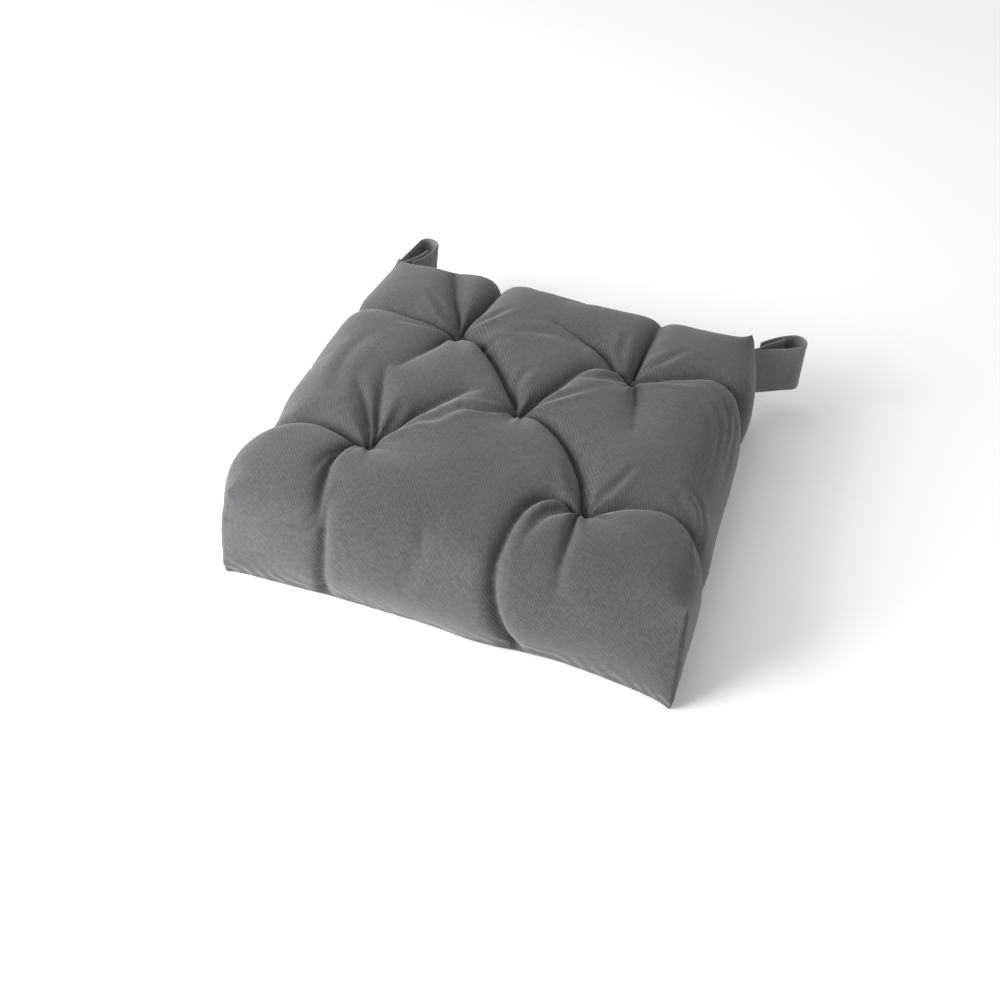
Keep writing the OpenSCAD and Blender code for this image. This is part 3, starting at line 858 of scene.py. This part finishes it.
line = [(x, 0.26, CLOSING_Z + 0.0004 * math.sin(x * 260))
        for x in np.linspace(-CLOSING_HALF, CLOSING_HALF, 120)]
path, up = on_surface(line, (0, -1, 0))
slanted = path + np.array([(0, 0, 0.0009 * math.sin(i * 1.3)) for i in range(len(path))])
settle(joined("closing_seam", stitches(slanted, up, 0.0052, 0.0043, 0.00045, 0.1), THREAD), "pad", "thread",
       "closing_stitch")

# A tie is a bar of strands on top, two legs down through the pad, and a knot with two tails below
STRANDS = (-0.0012, -0.0004, 0.0004, 0.0012)    # how far each strand lies off the bar's middle
BAR_HALF, BAR_R, LEG_R, KNOT_R = 0.0036, 0.00042, 0.00045, 0.0005
LEG_TOP, LEG_LOW = 0.0034, 0.0014               # how far a leg stands off the tie's middle
KNOT_W, KNOT_TURNS, KNOT_DROP = 0.0017, 2.6, 0.0012
TAIL_LONG, TAIL_LOWEST = 0.009, 0.0012
for k, (name, tuft) in enumerate(TUFTS.items()):
    x, y = tuft[0] * MM, tuft[1] * MM
    top_hit, _, _, _ = surface.ray_cast(Vector((x, y, 0.2)), Vector((0, 0, -1)))
    low_hit, _, _, _ = surface.ray_cast(Vector((x, y, -0.05)), Vector((0, 0, 1)))
    zt, zb = top_hit.z, low_hit.z
    parts = []
    turn = 0.4 + 0.9 * k
    across = np.array((math.cos(turn), math.sin(turn), 0))
    side_way = np.array((-math.sin(turn), math.cos(turn), 0))
    for j, off in enumerate(STRANDS):
        s = np.linspace(-1, 1, 11)
        lean = (across[None] * (s * BAR_HALF)[:, None]
                + side_way[None] * (off * (1 - 0.35 * s * s))[:, None])
        lift = 0.0007 * (1 - s ** 2) + 0.00012 * j
        parts.append(tube(np.array((x, y, zt)) + lean + np.array((0, 0, 1)) * lift[:, None], BAR_R))
    for s in (-1, 1):
        a = np.array((x, y, zt + 0.0001)) + across * (s * LEG_TOP)
        b = np.array((x, y, zb - 0.0001)) + across * (s * LEG_LOW)
        parts.append(tube([a + (b - a) * t for t in np.linspace(0, 1, 6)], LEG_R))
    loop = np.linspace(0, 2 * math.pi * KNOT_TURNS, 60)
    knot = np.stack([x + KNOT_W * np.cos(loop) * (1 + 0.3 * np.cos(loop * 0.6)),
                     y + KNOT_W * np.sin(loop) * (1 + 0.3 * np.cos(loop * 0.6)),
                     zb - KNOT_DROP + 0.0007 * np.sin(loop * 1.7)], 1)
    parts.append(tube(knot, KNOT_R))
    for s in (-1, 1):
        q = np.linspace(0, 1, 9)
        out = s * (0.001 + TAIL_LONG * q)
        tail = np.stack([x + across[0] * out, y + across[1] * out,
                         np.maximum(zb - KNOT_DROP - 0.003 * q ** 1.5, TAIL_LOWEST)], 1)
        parts.append(tube(tail, LEG_R))
    settle(joined("tuft_thread_" + name, parts, THREAD), "pad", "thread", "tuft_tie_" + name)

# ---------------------------------------------------------------- straps

STRAP_LOW, STRAP_HIGH = 0.030, 0.080
BAND_T, TAPE_T, TAPE_GAP = 0.0018, 0.0011, 0.0004
FOLD_R, NEAR_RUN = 0.0091, 0.044
FOLD_TURN = 176                      # the fold's sweep, from straight run to tail
SHORT_ROOT = np.array((0.0034, 0.0022))  # middle of the short band at the root
STACK = BAND_T + 2 * TAPE_T + TAPE_GAP


def angle_of(v):
    return math.degrees(math.atan2(v[1], v[0]))


def far_side():
    """Start, centre and radius of the tail's arc, which passes STACK outside the short band's root."""
    turn = math.radians(FOLD_TURN)
    begin = np.array((NEAR_RUN + FOLD_R * math.sin(turn), FOLD_R * (1 - math.cos(turn))))
    normal = np.array((-math.sin(turn), math.cos(turn)))
    chord = SHORT_ROOT - begin
    radius = (chord @ chord - STACK ** 2) / 2 / (chord @ normal - STACK)
    return begin, begin + radius * normal, radius


FAR_START, FAR_CENTRE, TAIL_R = far_side()
SHORT_R = TAIL_R - STACK
ROOT_A, TAIL_A0 = angle_of(SHORT_ROOT - FAR_CENTRE), angle_of(FAR_START - FAR_CENTRE)
TAIL_A1, SHORT_A0 = ROOT_A - 9, TAIL_A0 + 9
TAPE_A0, TAPE_A1 = SHORT_A0 + 1.5, TAIL_A1 - 2
HINGE = np.array([j["pos_m"][:2] for j in frame["joints"] if j["name"] == "strap_right_swing"][0])


def arc(centre, radius, a0, a1, step=0.0012):
    count = max(4, int(abs(math.radians(a1 - a0)) * radius / step))
    turn = np.radians(np.linspace(a0, a1, count))
    return np.stack([centre[0] + radius * np.cos(turn), centre[1] + radius * np.sin(turn)], 1)


def straight(a, b, step=0.0012):
    a, b = np.array(a, float), np.array(b, float)
    count = max(2, int(np.linalg.norm(b - a) / step))
    return a + (b - a) * np.linspace(0, 1, count)[:, None]


def placer(side, turn):
    """Strap coordinates to the row frame: +X from the swing line to the fold, mirrored at the left."""
    c, s = math.cos(math.radians(turn)), math.sin(math.radians(turn))

    def place(p):
        p = np.asarray(p, float)
        x = HINGE[0] + c * p[..., 0] - s * p[..., 1]
        y = HINGE[1] + s * p[..., 0] + c * p[..., 1]
        return np.stack([side * x, y, *([p[..., 2]] if p.shape[-1] == 3 else [])], -1)
    return place


def ribbon(name, path, place, side, low, high, thick, material, hem=True, seed=1, begin=0.0,
           caps=(0, -1)):
    """Upright band along a flat path: hemmed edges, a stitched-down groove, slightly wavy edges. It is
    left open at an end where another piece of the same band carries on, begin metres along it."""
    path = np.asarray(path, float)
    keep = np.concatenate([[True], np.linalg.norm(np.diff(path, axis=0), axis=1) > 1e-5])
    path = path[keep]
    tangent = np.gradient(path, axis=0)
    tangent /= np.linalg.norm(tangent, axis=1, keepdims=True)
    normal = np.stack([-tangent[:, 1], tangent[:, 0]], 1)
    far = begin + np.concatenate([[0], np.cumsum(np.linalg.norm(np.diff(path, axis=0), axis=1))])
    v = np.concatenate([[0, 0.0004, 0.0011], np.linspace(0.002, (high - low) / 2, 20)])
    v = np.concatenate([v, (high - low) - v[::-1][1:]])
    from_edge = np.minimum(v, (high - low) - v)
    half = np.full(len(v), thick / 2)
    if hem:
        groove = np.exp(-((from_edge - 0.0066) / 0.0007) ** 2)
        half = thick / 2 * (0.86 + 0.26 * (from_edge < 0.0062) - 0.30 * groove)
    half = half * np.clip(np.sqrt(np.clip(from_edge / 0.0009, 0.02, 1)), 0, 1)
    wave = 0.00022 * (np.sin(far / 0.011 + seed) + np.sin(far / 0.0047 + 2 * seed)) * hem
    rows = []
    for sign in (1, -1):
        order = range(len(v)) if sign > 0 else range(len(v) - 1, -1, -1)
        for k in order:
            at = path + normal * (sign * half[k]) + normal * (wave * (from_edge[k] < 0.008) * 0.5)[:, None]
            z = low + v[k] + wave * (1 if v[k] > (high - low) / 2 else -1) * (from_edge[k] < 0.01)
            rows.append(np.column_stack([at, z]))
    rows = np.array(rows)
    m, count = rows.shape[:2]
    co = place(rows.reshape(-1, 3))
    made = [[a * count + b, a * count + b + 1, ((a + 1) % m) * count + b + 1, ((a + 1) % m) * count + b]
            for a in range(m) for b in range(count - 1)]
    for b in [c % count for c in caps]:
        made += [[k * count + b, (k + 1) * count + b, (m - 2 - k) * count + b, (m - 1 - k) * count + b]
                 for k in range(m // 2 - 1)]
    if side < 0:
        made = [f[::-1] for f in made]
    ob = new_object(name, co, made, material)
    flat = np.tile(far, m)
    up = np.concatenate([v, v[::-1]]).repeat(count)
    attribute(ob.data, "cloth", "FLOAT_VECTOR", "POINT", np.column_stack([flat, up, np.zeros(m * count)]))
    bpy.context.view_layer.objects.active = ob
    ob.select_set(True)
    bpy.ops.object.mode_set(mode="EDIT")
    bpy.ops.mesh.select_all(action="SELECT")
    bpy.ops.mesh.normals_make_consistent(inside=False)
    bpy.ops.object.mode_set(mode="OBJECT")
    ob.select_set(False)
    return ob


def frame_stitches(place, radius, outward):
    """A frame of stitches round a tape, on the face that looks away from the tape."""
    inset = 0.0046
    low, high = STRAP_LOW + inset, STRAP_HIGH - inset
    parts = []
    for z in (low, high):
        path = arc(FAR_CENTRE, radius, TAPE_A0 + 1, TAPE_A1 - 1)
        up = (path - FAR_CENTRE) / radius * outward
        at = np.column_stack([path, np.full(len(path), z)])
        tip = np.column_stack([path + up * 0.001, np.full(len(path), z)])
        parts += stitches(place(at), (place(tip) - place(at)) / 0.001)
    for a in (TAPE_A0 + 1, TAPE_A1 - 1):
        spot = arc(FAR_CENTRE, radius, a, a + 0.01)[0]
        up = (spot - FAR_CENTRE) / radius * outward
        z = np.linspace(low, high, 40)
        at = np.column_stack([np.tile(spot, (40, 1)), z])
        tip = np.column_stack([np.tile(spot + up * 0.001, (40, 1)), z])
        parts += stitches(place(at), (place(tip) - place(at)) / 0.001)
    return parts


NEAR_END = 0.041      # where the near piece of the band hands over to the fold's piece
SEAM_TURN = 46        # direction of a back corner's seam, from the side towards the back
SEWN = 0.009          # length of band inside the seam
TAPE_EDGE = 0.003     # the tapes are this much narrower at each edge
MIDDLE = (STRAP_LOW + STRAP_HIGH) / 2


def make_strap(name, side, turn):
    """One band folded back on itself, in three pieces, with its two tapes and their stitching."""
    place = placer(side, turn)
    body = "strap_" + name.split("_")[0]
    tail = body + "_tail"

    def band(part, path, **settings):
        return ribbon(name + part, path, place, side, STRAP_LOW, STRAP_HIGH, BAND_T, WEBBING, **settings)

    def strip(part, radius):
        return ribbon(name + part, arc(FAR_CENTRE, radius, TAPE_A0, TAPE_A1), place, side,
                      STRAP_LOW + TAPE_EDGE, STRAP_HIGH - TAPE_EDGE, TAPE_T, TAPE, hem=False)

    def spot(x, y):
        return tuple(place(np.array((x, y, MIDDLE))))

    into = math.radians(180 + SEAM_TURN - turn)
    inward = np.array((math.cos(into), math.sin(into))) * SEWN
    near = np.concatenate([straight(inward, (0.0, 0.0)), straight((0.0012, 0.0002), (NEAR_END, 0.0))])
    short = np.concatenate([straight(inward + (-0.0004, 0.0019), (-0.0002, 0.0019)),
                            arc(FAR_CENTRE, SHORT_R, ROOT_A, SHORT_A0)[2:]])
    fold = np.concatenate([straight((NEAR_END, 0.0), (NEAR_RUN, 0.0)),
                           arc((NEAR_RUN, FOLD_R), FOLD_R, -90, FOLD_TURN - 90)[1:],
                           arc(FAR_CENTRE, TAIL_R, TAIL_A0, TAIL_A1)[1:]])
    run = float(np.sum(np.linalg.norm(np.diff(near, axis=0), axis=1)))
    near_piece = band("_near", near, caps=(0,))
    short_piece = band("_short", short, seed=2)
    tail_piece = band("_fold_and_tail", fold, begin=run, caps=(-1,))
    for piece, *cad_nodes in ((near_piece, "_band", "_seam_tab"), (short_piece, "_band")):
        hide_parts(*[name + part for part in cad_nodes])
        spot(-0.0015, 0)
        spot(0.009, 0)
        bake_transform(piece)
    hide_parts(name + "_tail")
    spot(0.05, 0.0015)
    spot(0.05, 0.011)
    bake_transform(tail_piece)

    beside = (BAND_T + TAPE_T) / 2
    settle(strip("_loop_strip", SHORT_R + beside), body, "hook_and_loop_tape", name + "_loop_tape")
    settle(strip("_hook_strip", TAIL_R - beside), tail, "hook_and_loop_tape", name + "_hook_tape")
    in_cloth = BAND_T * 0.43
    settle(joined(name + "_loop_stitches", frame_stitches(place, SHORT_R - in_cloth, -1), THREAD),
           body, "thread", name + "_tape_stitching")
    settle(joined(name + "_hook_stitches", frame_stitches(place, TAIL_R + in_cloth, 1), THREAD),
           tail, "thread", name + "_tail_stitching")


make_strap("right_strap", 1, 30)
make_strap("left_strap", -1, 100)
